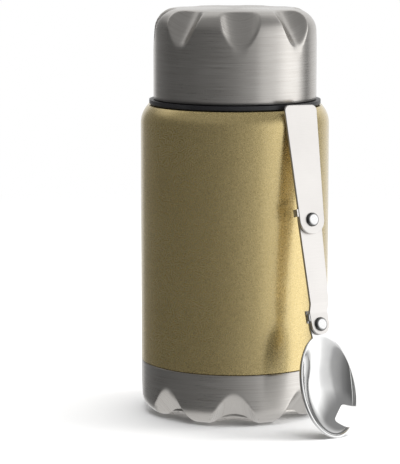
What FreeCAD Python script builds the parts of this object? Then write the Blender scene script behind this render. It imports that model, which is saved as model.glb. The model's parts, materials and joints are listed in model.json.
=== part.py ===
import FreeCAD, Part
import math
import os
import Sketcher

# Insulated food jar with a screw lid, a screw stopper and a folding spork that leans on it.
# Millimetres, +Z up. The origin is on the floor at the jar's own axis; the front is -Y.

doc = FreeCAD.newDocument("food_jar")
sheet = doc.addObject("Spreadsheet::Sheet", "Sizes")
V = FreeCAD.Vector

DIMENSIONS = {
    # body, seen from outside
    "body_radius": 43.0,
    "shell_wall": 0.8,
    "seam_height": 23.8,
    "seam_gap": 0.4,
    "shoulder_radius": 11.8,
    "shoulder_start": 132.0,
    "shoulder_sweep": 44.0,
    "collar_radius": 39.1,
    "collar_bottom": 141.2,
    "collar_thick": 2.2,
    "collar_bevel": 0.5,
    # base cup and its scallops
    "cup_wall": 0.8,
    "cup_corner": 8.0,
    "foot_recess_radius": 34.3,
    "foot_recess_depth": 0.7,
    "cup_clearance": 0.3,
    "cut_margin": 1.0,
    "scallop_count": 8.0,
    "scallop_overshoot": 0.35,
    "base_scallop_height": 15.5,
    "base_scallop_depth": 9.4,
    "base_scallop_tip_radius": 6.5,
    "base_scallop_end_radius": 10.5,
    # lid
    "lid_radius": 37.15,
    "lid_wall": 0.7,
    "lid_top": 184.6,
    "lid_corner": 9.4,
    "lid_rim_gap": 0.3,
    "scoop_height": 14.6,
    "scoop_depth": 8.9,
    "scoop_tip_radius": 5.5,
    "scoop_end_radius": 11.5,
    "scoop_turn": 3.5,
    "liner_wall": 1.5,
    "liner_gap": 0.25,
    "liner_top_gap": 3.9,
    "liner_dome_step": 3.4,
    "liner_rim_gap": 0.2,
    "liner_crown_round": 1.5,
    "lid_foam_gap": 0.2,
    "lid_foam_margin": 2.6,
    "seal_gap": 0.1,
    "seal_round": 0.4,
    "seal_thick": 1.5,
    "seal_width": 1.3,
    "seat_gap": 0.3,
    # neck and mouth
    "neck_radius": 32.0,
    "lip_height": 157.5,
    "sleeve_wall": 1.3,
    "sleeve_gap": 0.1,
    "sleeve_height": 155.5,
    "thread_space": 1.3,
    "mouth_radius": 28.8,
    "vessel_wall": 0.6,
    # inner vessel
    "vessel_radius": 36.5,
    "vessel_floor": 14.0,
    "vessel_corner": 11.0,
    "vessel_shoulder_low": 127.0,
    "vessel_shoulder_high": 141.0,
    "vessel_shoulder_round": 9.0,
    "vessel_neck_round": 5.0,
    # bottom of the outer shell
    "shell_bottom": 9.4,
    "shell_bottom_radius": 35.6,
    "shell_foot_rise": 11.0,
    "shell_foot_round": 4.0,
    "shell_foot_slant": 1.6,
    "disc_dimple_radius": 5.0,
    "disc_dimple_depth": 1.6,
    "pill_radius": 4.6,
    "pill_thick": 1.2,
    "getter_radius": 6.0,
    "getter_thick": 0.8,
    # stopper
    "plug_gap": 0.4,
    "plug_wall": 1.5,
    "plug_low": 145.8,
    "plug_floor": 1.4,
    "gasket_gap": 0.08,
    "gasket_height": 2.8,
    "gasket_width": 2.0,
    "gasket_lip": 0.7,
    "groove_gap": 0.1,
    "flange_radius": 30.0,
    "flange_thick": 1.4,
    "cover_thick": 1.6,
    "cover_crown": 1.2,
    "cover_edge": 1.0,
    "cover_rim": 4.0,
    "cover_rim_slope": 1.4,
    "cover_rim_round": 0.8,
    "foam_gap": 0.3,
    # pressure vent in the stopper
    "button_radius": 7.0,
    "button_height": 3.2,
    "button_travel": 1.5,
    "button_gap": 0.3,
    "button_rest_gap": 0.1,
    "button_round": 1.2,
    "stem_tip": 1.2,
    "stem_radius": 2.0,
    "stem_gap": 0.08,
    "guide_radius": 4.6,
    "guide_wall": 1.2,
    "valve_radius": 4.6,
    "valve_thick": 1.4,
    "spring_radius": 3.3,
    "spring_wire": 0.6,
    "spring_turns": 4.0,
    "spring_shelf": 151.5,
    "spring_end_gap": 0.1,
    # folding spork: where the lower rivet is and how the spork leans
    "spork_x": 37.2,
    "spork_y": -47.5,
    "spork_z": 47.66,
    "spork_yaw": 34.0,
    "spork_lean": 17.25,
    "spork_roll": 0.7,
    "plate_thick": 1.3,
    "washer_thick": 0.4,
    "washer_radius": 3.4,
    "rivet_pitch": 46.1,
    "rivet_radius": 1.5,
    "rivet_head_radius": 3.1,
    "rivet_head_height": 1.25,
    "rivet_tail_radius": 2.6,
    "rivet_tail_height": 0.7,
    "rivet_gap": 0.05,
    "rivet_tail_round": 0.3,
    "washer_gap": 0.04,
    "link_low_radius": 4.5,
    "link_top_radius": 6.1,
    "joggle_depth": 1.9,
    "joggle_start": 5.5,
    "joggle_end": 9.0,
    "joggle_round": 3.0,
    "plate_margin": 2.0,
    "link_pitch": 4.0,
    "end_fullness": 0.98,
    "top_fullness": 0.92,
    "grip_turn": 1.1,
    "grip_length": 51.2,
    "grip_low_radius": 6.3,
    "grip_half_width": 8.7,
    "grip_corner": 2.6,
    "lug_reach": 2.3,
    "lug_height": 3.2,
    "lug_low": 1.8,
    "lug_gap": 0.15,
    # spork bowl
    "bowl_turn": 1.1,
    "bowl_pitch": 3.0,
    "bowl_half_width": 14.5,
    "bowl_middle": 28.5,
    "bowl_rear": 24.0,
    "bowl_front": 22.1,
    "bowl_depth": 8.2,
    "bowl_wall": 1.2,
    "shank_half_width": 4.3,
    "shank_top_radius": 4.8,
    "neck_flare": 7.0,
    "shank_overlap": 6.0,
    "shank_round": 6.0,
    "notch_turn": 51.0,
    "notch_x": 5.75,
    "notch_down": 39.3,
    "notch_base": 7.7,
    "notch_mouth": 12.6,
    "notch_length": 9.0,
    "notch_round": 1.0,
}


class Size:
    """A number together with the text of the sheet expression that gives it."""

    def __init__(self, value, text):
        self.value = float(value)
        self.text = text

    def __add__(self, other):
        other = as_size(other)
        return Size(self.value + other.value, "(%s + %s)" % (self.text, other.text))

    def __sub__(self, other):
        other = as_size(other)
        return Size(self.value - other.value, "(%s - %s)" % (self.text, other.text))

    def __mul__(self, other):
        other = as_size(other)
        return Size(self.value * other.value, "(%s * %s)" % (self.text, other.text))

    def __truediv__(self, other):
        other = as_size(other)
        return Size(self.value / other.value, "(%s / %s)" % (self.text, other.text))


def as_size(thing):
    return thing if isinstance(thing, Size) else Size(thing, repr(float(thing)))


def tangent(angle):
    angle = as_size(angle)
    return Size(math.tan(math.radians(angle.value)), "tan(%s * 1 deg)" % angle.text)


def hypotenuse(across, up):
    length = math.hypot(across.value, up.value)
    return Size(length, "sqrt(%s ^ 2 + %s ^ 2)" % (across.text, up.text))


def cosine(angle):
    angle = as_size(angle)
    return Size(math.cos(math.radians(angle.value)), "cos(%s * 1 deg)" % angle.text)


class Dimensions:
    """Gives each named cell of the sheet as a Size."""

    def __getattr__(self, name):
        return Size(DIMENSIONS[name], "Sizes." + name)


def fill_sheet():
    for row, (name, value) in enumerate(DIMENSIONS.items(), start=1):
        sheet.set("A%d" % row, name)
        sheet.set("B%d" % row, str(value))
        sheet.setAlias("B%d" % row, name)
    doc.recompute()


fill_sheet()
d = Dimensions()
ZERO = Size(0.0, "0")
ONE = Size(1.0, "1")

finished = {}


def keep(node, thing):
    """Names a finished sub-part, so that its file gets this name."""
    thing.Label = node
    finished[node] = thing
    return thing


def bind(thing, prop, amount):
    """Binds one property of an object to the sheet."""
    amount = as_size(amount)
    thing.setExpression(prop, amount.text)


def new_body(name):
    return doc.addObject("PartDesign::Body", name)


def origin_plane(body, role):
    for feature in body.Origin.OriginFeatures:
        if feature.Role == role:
            return feature
    raise ValueError(role)


def corner_arc(before, at, after, radius):
    """Tangent points and middle point of a round of this radius at the corner 'at'."""
    to_before = (before - at).normalize()
    to_after = (after - at).normalize()
    half = to_before.getAngle(to_after) / 2.0
    reach = radius / math.tan(half)
    start = at + to_before * reach
    end = at + to_after * reach
    bisector = (to_before + to_after).normalize()
    centre = at + bisector * (radius / math.sin(half))
    middle = centre - bisector * radius
    return start, middle, end


def outline_sketch(body, name, role, corners):
    """Draws a closed outline from corners (across, up[, round]), each bound to the sheet."""
    sketch = body.newObject("Sketcher::SketchObject", name)
    sketch.AttachmentSupport = (origin_plane(body, role), [""])
    sketch.MapMode = "FlatFace"
    points = []
    rounds = []
    for corner in corners:
        points.append(V(as_size(corner[0]).value, as_size(corner[1]).value, 0))
        rounds.append(as_size(corner[2]) if len(corner) > 2 else None)
    count = len(points)
    starts = []
    ends = []
    arcs = {}
    for i in range(count):
        if rounds[i] is None:
            starts.append(points[i])
            ends.append(points[i])
            continue
        arc = corner_arc(points[i - 1], points[i], points[(i + 1) % count], rounds[i].value)
        starts.append(arc[0])
        ends.append(arc[2])
        arcs[i] = arc
    lines = []
    for i in range(count):
        lines.append(sketch.addGeometry(Part.LineSegment(ends[i], starts[(i + 1) % count])))
    for i in range(count):
        line_in = lines[i - 1]
        line_out = lines[i]
        if i not in arcs:
            sketch.addConstraint(Sketcher.Constraint("Coincident", line_in, 2, line_out, 1))
            pin_point(sketch, line_out, 1, corners[i])
            continue
        start, middle, end = arcs[i]
        arc = sketch.addGeometry(Part.Arc(start, middle, end))
        centre = sketch.Geometry[arc].Center
        turned_left = (start - centre).cross(end - centre).z > 0
        first = 1 if turned_left else 2
        last = 2 if turned_left else 1
        sketch.addConstraint(Sketcher.Constraint("Tangent", line_in, 2, arc, first))
        sketch.addConstraint(Sketcher.Constraint("Tangent", arc, last, line_out, 1))
        radius = sketch.addConstraint(Sketcher.Constraint("Radius", arc, rounds[i].value))
        sketch.setExpression("Constraints[%d]" % radius, rounds[i].text)
        point = sketch.addGeometry(Part.Point(points[i]), True)
        pin_point(sketch, point, 1, corners[i])
        sketch.addConstraint(Sketcher.Constraint("PointOnObject", point, 1, line_in))
        sketch.addConstraint(Sketcher.Constraint("PointOnObject", point, 1, line_out))
    return sketch


def pin_point(sketch, geometry, end, corner):
    """Holds a point of a sketch at its distances from the sketch's origin."""
    for kind, axis, amount in (("DistanceX", -2, corner[0]), ("DistanceY", -1, corner[1])):
        amount = as_size(amount)
        if amount.text == "0":
            sketch.addConstraint(Sketcher.Constraint("PointOnObject", geometry, end, axis))
            continue
        number = sketch.addConstraint(
            Sketcher.Constraint(kind, -1, 1, geometry, end, amount.value))
        sketch.setExpression("Constraints[%d]" % number, amount.text)


def turned(name, corners):
    """A solid of revolution about the jar's axis, from one outline of radius and height."""
    body = new_body(name)
    sketch = outline_sketch(body, name + "_outline", "XZ_Plane", corners)
    spin = body.newObject("PartDesign::Revolution", name + "_turn")
    spin.Profile = (sketch, [""])
    spin.ReferenceAxis = (sketch, ["V_Axis"])
    spin.Angle = 360.0
    sketch.Visibility = False
    body.Tip = spin
    return body


def padded(name, role, corners, length):
    """A plate pushed out to both sides of an origin plane."""
    body = new_body(name)
    sketch = outline_sketch(body, name + "_outline", role, corners)
    pad = body.newObject("PartDesign::Pad", name + "_pad")
    pad.Profile = (sketch, [""])
    bind(pad, "Length", length)
    pad.Midplane = True
    body.Tip = pad
    return body


def cut(name, base, tool):
    result = doc.addObject("Part::Cut", name)
    result.Base = base
    result.Tool = tool
    return result


def fused(name, pieces):
    result = doc.addObject("Part::MultiFuse", name)
    result.Shapes = pieces
    result.Refine = True
    return result


def common(name, first, second):
    result = doc.addObject("Part::MultiCommon", name)
    result.Shapes = [first, second]
    return result


def cylinder(name, radius, height, x=ZERO, y=ZERO, z=ZERO, rotation=None):
    result = doc.addObject("Part::Cylinder", name)
    bind(result, "Radius", radius)
    bind(result, "Height", height)
    bind(result, "Placement.Base.x", x)
    bind(result, "Placement.Base.y", y)
    bind(result, "Placement.Base.z", z)
    if rotation is not None:
        result.Placement.Rotation = rotation
    return result


def scallops(name, rim_radius, tip_z, end_z, depth, tip_radius, end_radius, turn, extra):
    """Cones, set round the axis, whose inner sides lean from the wall towards the end face."""
    overshoot = d.scallop_overshoot
    across = end_radius - tip_radius - depth
    up = end_z - tip_z
    growth = (end_radius - tip_radius) * overshoot
    run = V(across.value, 0, up.value)
    start = V((rim_radius + tip_radius).value, 0, tip_z.value) - run * overshoot.value
    lean = FreeCAD.Rotation(V(0, 0, 1), run)
    count = int(d.scallop_count.value)
    cutters = []
    for number in range(count):
        cone = doc.addObject("Part::Cone", "%s_%d" % (name, number + 1))
        bind(cone, "Radius1", tip_radius - growth + extra)
        bind(cone, "Radius2", end_radius + growth + extra)
        bind(cone, "Height", hypotenuse(across, up) * (ONE + overshoot * 2.0))
        about = FreeCAD.Rotation(V(0, 0, 1), turn.value - 90.0 + number * 360.0 / count)
        place = FreeCAD.Placement(V(0, 0, 0), about)
        cone.Placement = place.multiply(FreeCAD.Placement(start, lean))
        cutters.append(cone)
    return fused(name, cutters)


# shared heights and radii
shell_inner = d.body_radius - d.shell_wall
collar_top = d.collar_bottom + d.collar_thick
lid_bottom = collar_top + d.lid_rim_gap
neck_inner = d.neck_radius - d.shell_wall
vessel_neck_outer = d.mouth_radius + d.vessel_wall
sleeve_inner = d.neck_radius + d.sleeve_gap
sleeve_outer = sleeve_inner + d.sleeve_wall
liner_inner = sleeve_outer + d.thread_space
liner_outer = d.lid_radius - d.lid_wall - d.liner_gap
liner_upper_inner = liner_outer - d.liner_wall * 2.0
cup_inner = d.body_radius - d.cup_wall


def make_outer_shell():
    """Painted outer shell: drawn tube, rounded shoulder and neck, stepped in for the base cup."""
    step_radius = cup_inner - d.cup_clearance
    seam = d.seam_height
    rim = d.body_radius - d.shoulder_radius * (ONE - cosine(d.shoulder_sweep))
    flat = d.collar_bottom - d.seat_gap
    inner_flat = flat - d.shell_wall
    foot_top = d.shell_bottom + d.shell_foot_rise
    shoulder_low = d.shoulder_start
    half_sweep = d.shoulder_sweep / 2.0
    corners = [
        (d.shell_bottom_radius, d.shell_bottom),
        (step_radius, foot_top, d.shell_foot_round),
        (step_radius, seam),
        (d.body_radius, seam),
        (d.body_radius, shoulder_low + d.shoulder_radius * tangent(half_sweep), d.shoulder_radius),
        (rim, flat),
        (d.neck_radius, flat),
        (d.neck_radius, d.lip_height),
        (neck_inner, d.lip_height),
        (neck_inner, inner_flat),
        (rim - d.shell_wall, inner_flat),
        (shell_inner, shoulder_low + (d.shoulder_radius - d.shell_wall) * tangent(half_sweep),
         d.shoulder_radius - d.shell_wall),
        (shell_inner, seam + d.shell_wall),
        (step_radius - d.shell_wall, seam + d.shell_wall),
        (step_radius - d.shell_wall, foot_top + d.shell_wall / 2.0,
         d.shell_foot_round - d.shell_wall),
        (d.shell_bottom_radius, d.shell_bottom + d.shell_wall * d.shell_foot_slant),
    ]
    return keep("outer_shell", turned("outer_shell", corners))


def make_inner_vessel():
    """Steel food vessel with a narrower mouth, rolled out to meet the shell's lip."""
    wall = d.vessel_wall
    outer = d.vessel_radius + wall
    corners = [
        (ZERO, d.vessel_floor - wall),
        (outer, d.vessel_floor - wall, d.vessel_corner + wall),
        (outer, d.vessel_shoulder_low, d.vessel_shoulder_round),
        (vessel_neck_outer, d.vessel_shoulder_high, d.vessel_neck_round),
        (vessel_neck_outer, d.lip_height - wall),
        (neck_inner, d.lip_height - wall),
        (neck_inner, d.lip_height),
        (d.mouth_radius, d.lip_height),
        (d.mouth_radius, d.vessel_shoulder_high, d.vessel_neck_round),
        (d.vessel_radius, d.vessel_shoulder_low, d.vessel_shoulder_round - wall),
        (d.vessel_radius, d.vessel_floor, d.vessel_corner),
        (ZERO, d.vessel_floor),
    ]
    return keep("inner_vessel", turned("inner_vessel", corners))


def make_bottom_disc():
    """Disc that closes the outer shell, with a dimple for the vacuum seal."""
    low = d.shell_bottom
    high = low + d.shell_wall
    dimple = d.disc_dimple_radius
    corners = [
        (ZERO, low + d.disc_dimple_depth),
        (dimple, low + d.disc_dimple_depth),
        (dimple, low),
        (d.shell_bottom_radius, low),
        (d.shell_bottom_radius, high),
        (dimple + d.shell_wall, high),
        (dimple + d.shell_wall, high + d.disc_dimple_depth),
        (ZERO, high + d.disc_dimple_depth),
    ]
    return keep("bottom_disc", turned("bottom_disc", corners))


def make_vacuum_parts():
    """Seal pill under the bottom disc and getter pill under the inner vessel."""
    pill = cylinder("vacuum_seal", d.pill_radius, d.pill_thick,
                    z=d.shell_bottom + d.disc_dimple_depth - d.pill_thick)
    keep("vacuum_seal", pill)
    getter = cylinder("getter", d.getter_radius, d.getter_thick,
                      z=d.vessel_floor - d.vessel_wall - d.getter_thick)
    keep("getter", getter)


def make_base_cup():
    """Steel base cup, flush with the body, with eight scallops that leave eight feet."""
    top = d.seam_height - d.seam_gap
    floor = d.foot_recess_depth
    outer = turned("cup_outside", [
        (ZERO, floor),
        (d.foot_recess_radius, floor),
        (d.foot_recess_radius, ZERO),
        (d.body_radius, ZERO, d.cup_corner),
        (d.body_radius, top),
        (ZERO, top),
    ])
    inside_corner = d.cup_corner - d.cup_wall
    inner = turned("cup_inside", [
        (ZERO, floor + d.cup_wall),
        (cup_inner, floor + d.cup_wall, inside_corner),
        (cup_inner, top + d.cut_margin),
        (ZERO, top + d.cut_margin),
    ])
    tip = d.base_scallop_height
    outer_cut = cut("cup_outside_scalloped", outer, scallops(
        "cup_scallops", d.body_radius, tip, ZERO, d.base_scallop_depth,
        d.base_scallop_tip_radius, d.base_scallop_end_radius, ZERO, ZERO))
    inner_cut = cut("cup_inside_scalloped", inner, scallops(
        "cup_inner_scallops", d.body_radius, tip, ZERO, d.base_scallop_depth,
        d.base_scallop_tip_radius, d.base_scallop_end_radius, ZERO, d.cup_wall))
    return keep("base_cup", cut("base_cup", outer_cut, inner_cut))


def make_neck_collar():
    """Black collar: a flange that shows under the lid, and a sleeve for the lid's thread."""
    bevel = d.collar_bevel
    corners = [
        (sleeve_inner, d.collar_bottom),
        (d.collar_radius - bevel, d.collar_bottom),
        (d.collar_radius, d.collar_bottom + bevel),
        (d.collar_radius, collar_top),
        (sleeve_outer, collar_top),
        (sleeve_outer, d.sleeve_height),
        (sleeve_inner, d.sleeve_height),
    ]
    return keep("neck_collar", turned("neck_collar", corners))


def make_lid_shell():
    """Drawn steel cap with eight finger scoops that lean into the top corner."""
    outer = turned("cap_outside", [
        (ZERO, lid_bottom),
        (d.lid_radius, lid_bottom),
        (d.lid_radius, d.lid_top, d.lid_corner),
        (ZERO, d.lid_top),
    ])
    below = lid_bottom - d.cut_margin
    inner_radius = d.lid_radius - d.lid_wall
    inner_top = d.lid_top - d.lid_wall
    inner = turned("cap_inside", [
        (ZERO, below),
        (inner_radius, below),
        (inner_radius, inner_top, d.lid_corner - d.lid_wall),
        (ZERO, inner_top),
    ])
    tip = d.lid_top - d.scoop_height
    outer_cut = cut("cap_outside_scooped", outer, scallops(
        "cap_scoops", d.lid_radius, tip, d.lid_top, d.scoop_depth,
        d.scoop_tip_radius, d.scoop_end_radius, d.scoop_turn, ZERO))
    inner_cut = cut("cap_inside_scooped", inner, scallops(
        "cap_inner_scoops", d.lid_radius, tip, d.lid_top, d.scoop_depth,
        d.scoop_tip_radius, d.scoop_end_radius, d.scoop_turn, d.lid_wall))
    return keep("lid_shell", cut("lid_shell", outer_cut, inner_cut))


def make_lid_liner():
    """Plastic inner cap: thread space, a shelf for the seal, and a dome inside the scoops."""
    wall = d.liner_wall
    low = lid_bottom + d.liner_rim_gap
    shelf = d.sleeve_height + d.seat_gap + d.seal_thick + d.seal_gap
    crown = d.lid_top - d.liner_top_gap
    lean_low = d.lid_top - d.scoop_height - d.liner_dome_step
    slope = d.scoop_depth / d.scoop_height
    crown_radius = liner_outer - (crown - lean_low) * slope - d.liner_gap
    corners = [
        (liner_inner, low),
        (liner_outer, low),
        (liner_outer, lean_low),
        (crown_radius, crown, d.liner_crown_round + wall),
        (ZERO, crown),
        (ZERO, crown - wall),
        (crown_radius - wall, crown - wall, d.liner_crown_round),
        (liner_upper_inner, lean_low - wall / 2.0),
        (liner_upper_inner, shelf),
        (liner_inner, shelf),
    ]
    return keep("lid_liner", turned("lid_liner", corners))


def make_lid_foam():
    """Insulating disc between the steel cap and the inner cap."""
    low = d.lid_top - d.liner_top_gap + d.lid_foam_gap
    high = d.lid_top - d.lid_wall - d.lid_foam_gap
    radius = d.lid_radius - d.scoop_depth - d.lid_foam_margin
    disc = cylinder("lid_foam", radius, high - low, z=low)
    return keep("lid_foam", disc)


def make_lid_seal():
    """Silicone ring in the lid that presses on the top of the sleeve."""
    low = d.sleeve_height + d.seat_gap
    outer = liner_inner - d.seal_gap
    corners = [
        (outer - d.seal_width, low, d.seal_round),
        (outer, low, d.seal_round),
        (outer, low + d.seal_thick),
        (outer - d.seal_width, low + d.seal_thick),
    ]
    return keep("lid_seal", turned("lid_seal", corners))


plug_radius = d.mouth_radius - d.plug_gap
plug_inner = plug_radius - d.plug_wall
plug_seat = d.plug_low + d.plug_floor + d.gasket_height + d.groove_gap * 2.0
flange_low = d.lip_height + d.seat_gap
flange_top = flange_low + d.flange_thick
guide_outer = d.guide_radius + d.guide_wall


def make_stopper_body():
    """Screw plug: a flange on the lip, a threaded skirt, a groove for the gasket and a vent guide."""
    floor = d.plug_low + d.plug_floor
    groove = plug_radius - d.gasket_width
    inner = groove - d.plug_wall
    stem_hole = d.stem_radius + d.stem_gap
    corners = [
        (stem_hole, d.plug_low),
        (plug_radius, d.plug_low),
        (plug_radius, floor),
        (groove, floor),
        (groove, plug_seat),
        (plug_radius, plug_seat),
        (plug_radius, flange_low),
        (d.flange_radius, flange_low),
        (d.flange_radius, flange_top),
        (inner, flange_top),
        (inner, floor),
        (guide_outer, floor),
        (guide_outer, flange_top),
        (d.guide_radius, flange_top),
        (d.guide_radius, d.spring_shelf),
        (stem_hole, d.spring_shelf),
    ]
    return keep("stopper_body", turned("stopper_body", corners))


def make_stopper_foam():
    """Insulating ring inside the plug, round the vent guide."""
    inner = plug_radius - d.gasket_width - d.plug_wall
    low = d.plug_low + d.plug_floor + d.foam_gap
    corners = [
        (guide_outer + d.foam_gap, low),
        (inner - d.foam_gap, low),
        (inner - d.foam_gap, flange_top - d.foam_gap),
        (guide_outer + d.foam_gap, flange_top - d.foam_gap),
    ]
    return keep("stopper_foam", turned("stopper_foam", corners))


def make_stopper_cover():
    """Top cover of the stopper with a raised rim and a well for the vent button."""
    well = d.button_radius + d.button_gap
    top = flange_top + d.cover_thick
    edge = d.flange_radius
    corners = [
        (d.guide_radius, flange_top),
        (edge, flange_top),
        (edge, top + d.cover_crown, d.cover_edge),
        (edge - d.cover_rim, top + d.cover_crown, d.cover_rim_round),
        (edge - d.cover_rim - d.cover_rim_slope, top, d.cover_rim_round),
        (well + d.plug_wall, top),
        (well + d.plug_wall, top + d.cover_crown),
        (well, top + d.cover_crown),
        (well, flange_top + d.cover_thick / 2.0),
        (d.guide_radius, flange_top + d.cover_thick / 2.0),
    ]
    return keep("stopper_cover", turned("stopper_cover", corners))


def make_stopper_gasket():
    """Silicone ring round the plug, with two lips against the mouth."""
    low = d.plug_low + d.plug_floor + d.groove_gap
    inner = plug_radius - d.gasket_width + d.groove_gap / 2.0
    lip = d.mouth_radius - d.gasket_gap
    root = lip - d.gasket_lip
    part = d.gasket_height / 4.0
    corners = [
        (inner, low),
        (root, low),
        (lip, low + part),
        (root, low + part * 2.0),
        (lip, low + part * 3.0),
        (root, low + d.gasket_height),
        (inner, low + d.gasket_height),
    ]
    return keep("stopper_gasket", turned("stopper_gasket", corners))


cover_well_floor = flange_top + d.cover_thick / 2.0
button_low = cover_well_floor + d.button_travel + d.button_rest_gap


def make_vent_button():
    """Round push button with a stem that reaches down to the valve."""
    top = button_low + d.button_height
    stem_end = d.plug_low - d.seat_gap - d.valve_thick
    corners = [
        (ZERO, stem_end - d.stem_tip),
        (d.stem_radius, stem_end - d.stem_tip),
        (d.stem_radius, button_low),
        (d.button_radius, button_low),
        (d.button_radius, top, d.button_round),
        (ZERO, top),
    ]
    return keep("vent_button", turned("vent_button", corners))


def make_vent_valve():
    """Silicone disc on the stem that closes the vent from below."""
    high = d.plug_low - d.seat_gap
    corners = [
        (d.stem_radius, high - d.valve_thick),
        (d.valve_radius, high - d.valve_thick),
        (d.valve_radius, high),
        (d.stem_radius, high),
    ]
    return keep("vent_valve", turned("vent_valve", corners))


def make_vent_spring():
    """Return spring under the button, one wire in even turns."""
    low = d.spring_shelf + d.spring_wire / 2.0 + d.spring_end_gap
    high = button_low - d.spring_wire / 2.0 - d.spring_end_gap
    path = doc.addObject("Part::Helix", "spring_path")
    bind(path, "Radius", d.spring_radius)
    bind(path, "Height", high - low)
    bind(path, "Pitch", (high - low) / d.spring_turns)
    bind(path, "Placement.Base.z", low)
    wire = doc.addObject("Part::Circle", "spring_wire")
    bind(wire, "Radius", d.spring_wire / 2.0)
    bind(wire, "Placement.Base.x", d.spring_radius)
    bind(wire, "Placement.Base.z", low)
    wire.Placement.Rotation = FreeCAD.Rotation(V(1, 0, 0), 90.0)
    spring = doc.addObject("Part::Sweep", "vent_spring")
    spring.Sections = [wire]
    spring.Spine = (path, [])
    spring.Solid = True
    spring.Frenet = True
    return keep("vent_spring", spring)


# the spork is drawn facing the front with its lower rivet at the origin, then put in its place
lean = FreeCAD.Rotation(V(0, 0, 1), d.spork_yaw.value)
lean = lean.multiply(FreeCAD.Rotation(V(1, 0, 0), -d.spork_lean.value))
lean = lean.multiply(FreeCAD.Rotation(V(0, 1, 0), d.spork_roll.value))
spork_place = FreeCAD.Placement(V(d.spork_x.value, d.spork_y.value, d.spork_z.value), lean)

link_back_y = ZERO - d.washer_thick
link_front_y = link_back_y - d.plate_thick
link_lean = tangent(d.link_pitch)
upper_back_y = link_back_y - d.joggle_depth - (d.rivet_pitch - d.joggle_end) * link_lean
upper_back = V(0, upper_back_y.value, d.rivet_pitch.value)
pitch_forward = FreeCAD.Rotation(V(1, 0, 0), d.link_pitch.value)
upper_frame = FreeCAD.Placement(upper_back, pitch_forward)
grip_frame = upper_frame.multiply(FreeCAD.Placement(
    V(0, 0, 0), FreeCAD.Rotation(V(0, 1, 0), d.grip_turn.value)))
bowl_frame = FreeCAD.Placement(V(0, 0, 0), FreeCAD.Rotation(V(1, 0, 0), -d.bowl_pitch.value).multiply(
    FreeCAD.Rotation(V(0, 1, 0), d.bowl_turn.value)))


def tapered_outline(low_z, low_radius, high_z, high_radius):
    """Sides of a plate between two round ends, straight and tangent by its rounds."""
    return [
        (ZERO - low_radius, low_z - low_radius, low_radius * d.end_fullness),
        (low_radius, low_z - low_radius, low_radius * d.end_fullness),
        (high_radius, high_z + high_radius, high_radius * d.top_fullness),
        (ZERO - high_radius, high_z + high_radius, high_radius * d.top_fullness),
    ]


def rivet_hole(name, gap, frame):
    """Bore for a rivet, long enough to pass the plates on both sides."""
    reach = d.plate_thick.value * 6.0
    hole = doc.addObject("Part::Cylinder", name)
    bind(hole, "Radius", d.rivet_radius + gap)
    bind(hole, "Height", d.plate_thick * 12.0)
    local = FreeCAD.Placement(V(0, reach, 0), FreeCAD.Rotation(V(1, 0, 0), 90.0))
    hole.Placement = frame.multiply(local)
    return hole


def make_spork_link():
    """Middle plate: bent forward just above the lower rivet, with a stop lug at its upper end."""
    front = plate_side("link_side", d.plate_thick)
    face = padded("link_face", "XZ_Plane",
                  tapered_outline(ZERO, d.link_low_radius, d.rivet_pitch, d.link_top_radius),
                  d.body_radius)
    strip = common("link_strip", front, face)
    lug = stop_lug("link_lug", d.grip_low_radius, d.grip_half_width, d.grip_length, upper_frame, ZERO)
    whole = fused("link_with_lug", [strip] + lug)
    bored = cut("link_bored", whole, rivet_hole("link_low_hole", d.rivet_gap, FreeCAD.Placement()))
    link = cut("spork_link", bored, rivet_hole("link_high_hole", ZERO, upper_frame))
    link.Placement = spork_place
    return keep("spork_link", link)


def plate_side(name, thick):
    """Side view of the bent link: flat at the rivet, a joggle, then a slight forward lean."""
    top = d.rivet_pitch + d.link_top_radius + d.plate_margin
    low = ZERO - d.link_low_radius - d.plate_margin
    back_high = link_back_y - d.joggle_depth
    back_top = back_high - (top - d.joggle_end) * link_lean
    corners = [
        (link_back_y, low),
        (link_back_y, d.joggle_start, d.joggle_round),
        (back_high, d.joggle_end, d.joggle_round),
        (back_top, top),
        (back_top - thick, top),
        (back_high - thick, d.joggle_end, d.joggle_round),
        (link_back_y - thick, d.joggle_start, d.joggle_round),
        (link_back_y - thick, low),
    ]
    return padded(name, "YZ_Plane", corners, d.body_radius)


def stop_lug(name, low_radius, high_width, length, frame, plate_back):
    """Ear at the left edge of a plate, turned up so that the plate in front stops against it."""
    ear_top = d.lug_low + d.lug_height
    edge = low_radius + (ear_top + low_radius) * (high_width - low_radius) / (length + low_radius)
    inner = edge + d.lug_gap
    pieces = []
    for part, width, thick, left in (
            ("tab", inner + d.lug_reach, d.plate_thick, inner + d.lug_reach),
            ("ear", d.lug_reach, d.plate_thick * 2.0 + d.washer_thick, inner + d.lug_reach)):
        box = doc.addObject("Part::Box", "%s_%s" % (name, part))
        bind(box, "Length", width)
        bind(box, "Width", thick)
        bind(box, "Height", d.lug_height)
        corner = V(-left.value, plate_back.value - thick.value, d.lug_low.value)
        box.Placement = frame.multiply(FreeCAD.Placement(corner, FreeCAD.Rotation()))
        pieces.append(box)
    return pieces


def make_spork_grip():
    """Front plate: round at the rivet and widening to a square end with rounded corners."""
    low = d.grip_low_radius
    back = ZERO - d.washer_thick - d.plate_thick
    corners = [
        (ZERO - low, ZERO - low, low * d.end_fullness),
        (low, ZERO - low, low * d.end_fullness),
        (d.grip_half_width, d.grip_length, d.grip_corner),
        (ZERO - d.grip_half_width, d.grip_length, d.grip_corner),
    ]
    plate = padded("grip_face", "XZ_Plane", corners, d.plate_thick)
    plate.Placement = grip_frame.multiply(FreeCAD.Placement(
        V(0, (back - d.plate_thick / 2.0).value, 0), FreeCAD.Rotation()))
    grip = cut("spork_grip", plate, rivet_hole("grip_hole", d.rivet_gap, upper_frame))
    grip.Placement = spork_place
    return keep("spork_grip", grip)


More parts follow.
